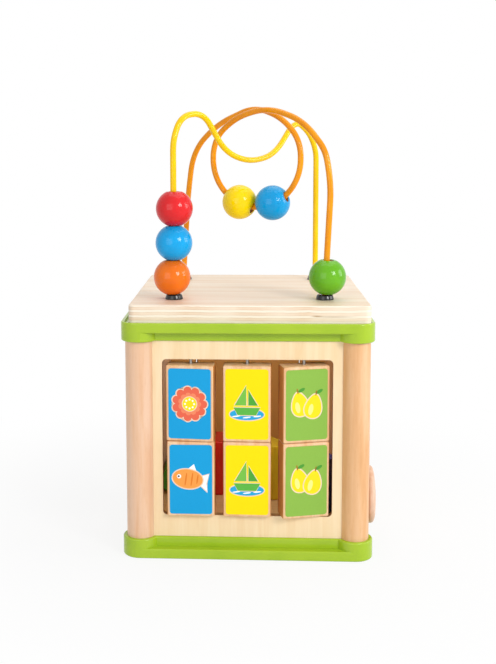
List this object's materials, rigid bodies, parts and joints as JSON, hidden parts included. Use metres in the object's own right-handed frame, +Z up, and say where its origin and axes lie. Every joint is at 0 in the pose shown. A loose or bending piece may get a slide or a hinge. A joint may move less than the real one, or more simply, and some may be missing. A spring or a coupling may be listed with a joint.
{
  "type": "baby activity cube",
  "caption": "Wooden activity cube with a bead maze on top, turning picture blocks, an arched track slider, a shape sorter and a rear door.",
  "frame": {"origin": "centre of the cube's flat underside", "axes": "+Z up through the bead maze, -Y out of the side with the picture blocks, +X out of the side with the arched track"},
  "size_m": [0.203, 0.2, 0.361],
  "materials": {
    "green_abs": "moulded, glossy",
    "beech": "turned dowel, clear matt varnish",
    "birch_ply": "sanded plywood, clear satin varnish",
    "birch_board": "thick sanded plywood with striped edges, clear satin varnish",
    "block_wood": "solid wood, clear matt varnish",
    "zinc_steel": "zinc-plated",
    "bright_steel": "drawn, bright",
    "yellow_wire_lacquer": "glossy powder coat",
    "orange_wire_lacquer": "glossy powder coat",
    "black_abs": "moulded, glossy",
    "orange_lacquer": "glossy lacquer on turned wood",
    "blue_lacquer": "glossy lacquer on turned wood",
    "red_lacquer": "glossy lacquer on turned wood",
    "green_lacquer": "glossy lacquer on turned wood",
    "yellow_lacquer": "glossy lacquer on turned wood",
    "varnished_wood": "turned, clear satin varnish",
    "green_stain": "satin lacquer",
    "red_stain": "satin lacquer",
    "yellow_stain": "satin lacquer",
    "blue_stain": "satin lacquer",
    "print_blue": "printed label, satin",
    "print_yellow": "printed label, satin",
    "print_green": "printed label, satin"
  },
  "bodies": {
    "root": {"bottom_frame": "green_abs", "top_frame": "green_abs", "post_front_left": "beech", "post_front_right": "beech", "post_rear_left": "beech", "post_rear_right": "beech", "floor_board": "birch_ply", "top_board": "birch_board", "front_panel": "birch_ply", "right_panel": "birch_ply", "left_panel": "birch_ply", "rear_panel": "birch_ply", "bottom_screws": "zinc_steel", "top_screws": "zinc_steel", "board_screws": "zinc_steel", "yellow_wire": "yellow_wire_lacquer", "orange_wire": "orange_wire_lacquer", "wire_ferrules": "black_abs", "door_pins": "bright_steel", "door_stop": "beech", "door_magnet": "bright_steel", "pivot_rod_left": "bright_steel", "pivot_rod_middle": "bright_steel", "pivot_rod_right": "bright_steel"},
    "left_lower_block": {"picture_block_left_lower": "block_wood", "block_labels_left_lower": "print_blue"},
    "left_upper_block": {"picture_block_left_upper": "block_wood", "block_labels_left_upper": "print_blue"},
    "middle_lower_block": {"picture_block_middle_lower": "block_wood", "block_labels_middle_lower": "print_yellow"},
    "middle_upper_block": {"picture_block_middle_upper": "block_wood", "block_labels_middle_upper": "print_yellow"},
    "right_lower_block": {"picture_block_right_lower": "block_wood", "block_labels_right_lower": "print_green"},
    "right_upper_block": {"picture_block_right_upper": "block_wood", "block_labels_right_upper": "print_green"},
    "orange_bead": {"orange_bead": "orange_lacquer"},
    "blue_stack_bead": {"blue_stack_bead": "blue_lacquer"},
    "red_bead": {"red_bead": "red_lacquer"},
    "green_bead": {"green_bead": "green_lacquer"},
    "yellow_bead": {"yellow_bead": "yellow_lacquer"},
    "blue_ring_bead": {"blue_ring_bead": "blue_lacquer"},
    "slider": {"slider_disc": "varnished_wood", "slider_spacer": "varnished_wood", "slider_backing": "varnished_wood", "slider_screw": "zinc_steel"},
    "door": {"rear_door": "birch_ply", "door_keeper": "bright_steel"},
    "green_cylinder": {"green_cylinder": "green_stain"},
    "red_square": {"red_square": "red_stain"},
    "yellow_triangle": {"yellow_triangle": "yellow_stain"},
    "blue_hexagon": {"blue_hexagon": "blue_stain"}
  },
  "joints": [
    {"name": "left_lower_turn", "type": "hinge", "parent": "root", "child": "left_lower_block", "pos_m": [-0.04463, -0.087, 0.095], "axis": [0, 0, 1], "continuous": true},
    {"name": "left_upper_turn", "type": "hinge", "parent": "root", "child": "left_upper_block", "pos_m": [-0.04463, -0.087, 0.095], "axis": [0, 0, 1], "continuous": true},
    {"name": "middle_lower_turn", "type": "hinge", "parent": "root", "child": "middle_lower_block", "pos_m": [0, -0.087, 0.095], "axis": [0, 0, 1], "continuous": true},
    {"name": "middle_upper_turn", "type": "hinge", "parent": "root", "child": "middle_upper_block", "pos_m": [0, -0.087, 0.095], "axis": [0, 0, 1], "continuous": true},
    {"name": "right_lower_turn", "type": "hinge", "parent": "root", "child": "right_lower_block", "pos_m": [0.04463, -0.087, 0.095], "axis": [0, 0, 1], "continuous": true},
    {"name": "right_upper_turn", "type": "hinge", "parent": "root", "child": "right_upper_block", "pos_m": [0.04463, -0.087, 0.095], "axis": [0, 0, 1], "continuous": true},
    {"name": "orange_bead_slide", "type": "slide", "parent": "root", "child": "orange_bead", "axis": [0, 0, 1], "range_m": [0, 0.0105]},
    {"name": "blue_stack_bead_slide", "type": "slide", "parent": "orange_bead", "child": "blue_stack_bead", "axis": [0, 0, 1], "range_m": [0, 0.0105]},
    {"name": "red_bead_slide", "type": "slide", "parent": "blue_stack_bead", "child": "red_bead", "axis": [0, 0, 1], "range_m": [0, 0.0105]},
    {"name": "green_bead_slide", "type": "slide", "parent": "root", "child": "green_bead", "axis": [0.0457, -0.0387, 0.9982], "range_m": [0, 0.04]},
    {"name": "yellow_bead_travel", "type": "hinge", "parent": "root", "child": "yellow_bead", "pos_m": [0.0072, 0, 0.3159], "axis": [0.4226, 0.9063, 0], "range_deg": [0, 45]},
    {"name": "blue_ring_bead_travel", "type": "hinge", "parent": "root", "child": "blue_ring_bead", "pos_m": [0.0072, 0, 0.3159], "axis": [-0.4226, -0.9063, 0], "range_deg": [0, 45]},
    {"name": "slider_travel", "type": "hinge", "parent": "root", "child": "slider", "pos_m": [0.087, 0, 0.042], "axis": [-1, 0, 0], "range_deg": [0, 180]},
    {"name": "door_swing", "type": "hinge", "parent": "root", "child": "door", "pos_m": [-0.0462, 0.087, 0.086], "axis": [0, 0, 1], "range_deg": [0, 95]},
    {"name": "green_cylinder_lift", "type": "slide", "parent": "root", "child": "green_cylinder", "axis": [0, 0, 1], "range_m": [0, 0.1]},
    {"name": "red_square_lift", "type": "slide", "parent": "root", "child": "red_square", "axis": [0, 0, 1], "range_m": [0, 0.1]},
    {"name": "yellow_triangle_lift", "type": "slide", "parent": "root", "child": "yellow_triangle", "axis": [0, 0, 1], "range_m": [0, 0.1]},
    {"name": "blue_hexagon_lift", "type": "slide", "parent": "root", "child": "blue_hexagon", "axis": [0, 0, 1], "range_m": [0, 0.1]}
  ]
}
